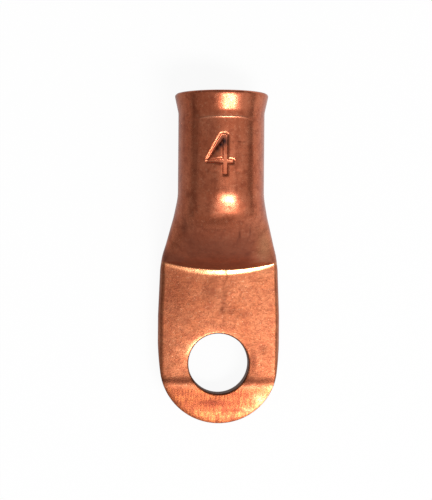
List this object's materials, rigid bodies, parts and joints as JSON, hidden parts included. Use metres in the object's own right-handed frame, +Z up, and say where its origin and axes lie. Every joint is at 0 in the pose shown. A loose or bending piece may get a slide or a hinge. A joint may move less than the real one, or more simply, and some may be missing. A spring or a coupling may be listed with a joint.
{
  "type": "cable lug",
  "caption": "Copper cable lug pressed from tube, with a belled wire barrel and a flat palm for a 1/4 inch or M6 stud.",
  "frame": {"origin": "on the axis of the stud hole, at the palm's flat underside", "axes": "+Z up through the stud hole, +Y from the stud hole along the barrel to the wire mouth, +X across the palm"},
  "size_m": [0.0142, 0.0382, 0.0107],
  "materials": {
    "copper": "annealed copper tube, drawn and pressed, lightly oxidised"
  },
  "bodies": {
    "root": {"cable_lug": "copper"}
  },
  "joints": []
}
